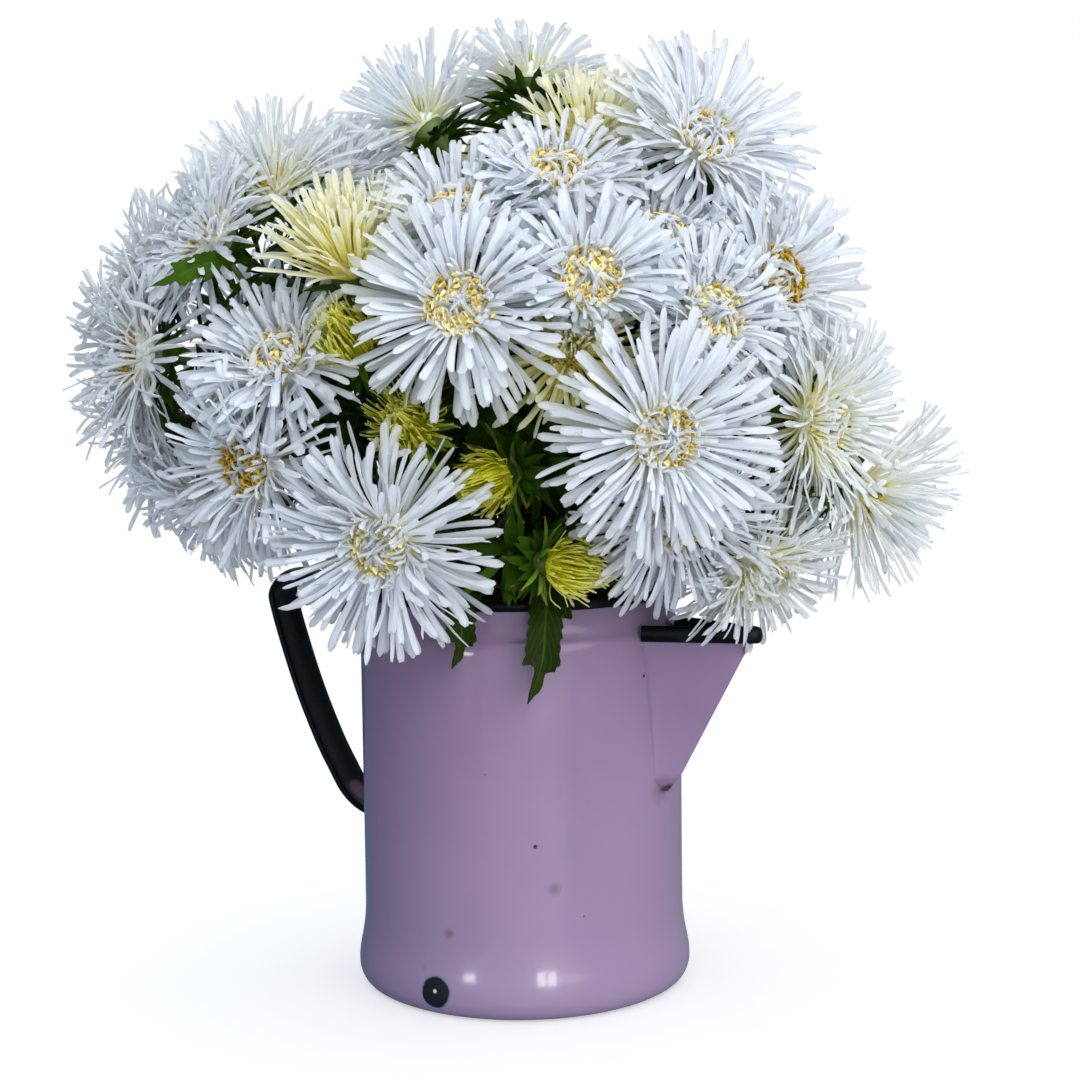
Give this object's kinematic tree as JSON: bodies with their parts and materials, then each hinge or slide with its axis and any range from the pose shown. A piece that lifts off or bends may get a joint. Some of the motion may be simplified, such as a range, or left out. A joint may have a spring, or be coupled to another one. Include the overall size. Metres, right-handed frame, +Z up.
{
  "type": "jug of needle asters",
  "caption": "Enamelled steel jug with a pouring lip and strap handle, filled with water and a full round bunch of white needle-petalled asters on leafy stems.",
  "frame": {"origin": "centre of the jug's flat foot, on the surface that it stands on", "axes": "+Z up; +X from the jug's axis towards the pouring lip, with the strap handle at -X"},
  "size_m": [0.3291, 0.299, 0.3953],
  "materials": {
    "violet_enamel": "glossy vitreous enamel, greyed violet, with a few chips",
    "black_enamel": "glossy black vitreous enamel",
    "water": "clear water",
    "leaf_green": "fresh stems, bracts and lobed leaves, satin",
    "white_petal": "soft matt petals, white with a golden disc",
    "young_petal": "soft matt petals, lemon at the heart",
    "bud_green": "tight yellow-green petals"
  },
  "bodies": {
    "root": {"jug_body": "violet_enamel", "jug_spout": "violet_enamel", "jug_handle": "black_enamel", "water": "water", "stem_01": "leaf_green", "stem_02": "leaf_green", "stem_03": "leaf_green", "stem_04": "leaf_green", "stem_05": "leaf_green", "stem_06": "leaf_green", "stem_07": "leaf_green", "stem_08": "leaf_green", "stem_09": "leaf_green", "stem_10": "leaf_green", "stem_11": "leaf_green", "bloom_01": "white_petal", "bloom_02": "white_petal", "bloom_03": "white_petal", "bloom_04": "white_petal", "bloom_05": "white_petal", "bloom_06": "young_petal", "bloom_07": "white_petal", "bloom_08": "white_petal", "bloom_09": "white_petal", "bloom_10": "white_petal", "bloom_11": "white_petal", "bloom_12": "white_petal", "bloom_13": "white_petal", "bloom_14": "young_petal", "bloom_15": "white_petal", "bloom_16": "white_petal", "bloom_17": "white_petal", "bloom_18": "white_petal", "bloom_19": "white_petal", "bloom_20": "young_petal", "bloom_21": "white_petal", "bloom_22": "white_petal", "bloom_23": "white_petal", "bloom_24": "young_petal", "bloom_25": "white_petal", "bloom_26": "young_petal", "bloom_27": "white_petal", "bloom_28": "young_petal", "bloom_29": "white_petal", "bloom_30": "white_petal", "bloom_31": "white_petal", "bloom_32": "white_petal", "bloom_33": "white_petal", "bloom_34": "white_petal", "bloom_35": "white_petal", "bloom_36": "white_petal", "bloom_37": "young_petal", "bloom_38": "white_petal", "bloom_39": "white_petal", "bloom_40": "white_petal", "bud_01": "bud_green", "bud_02": "bud_green", "bud_03": "bud_green", "bud_04": "bud_green"}
  },
  "joints": []
}
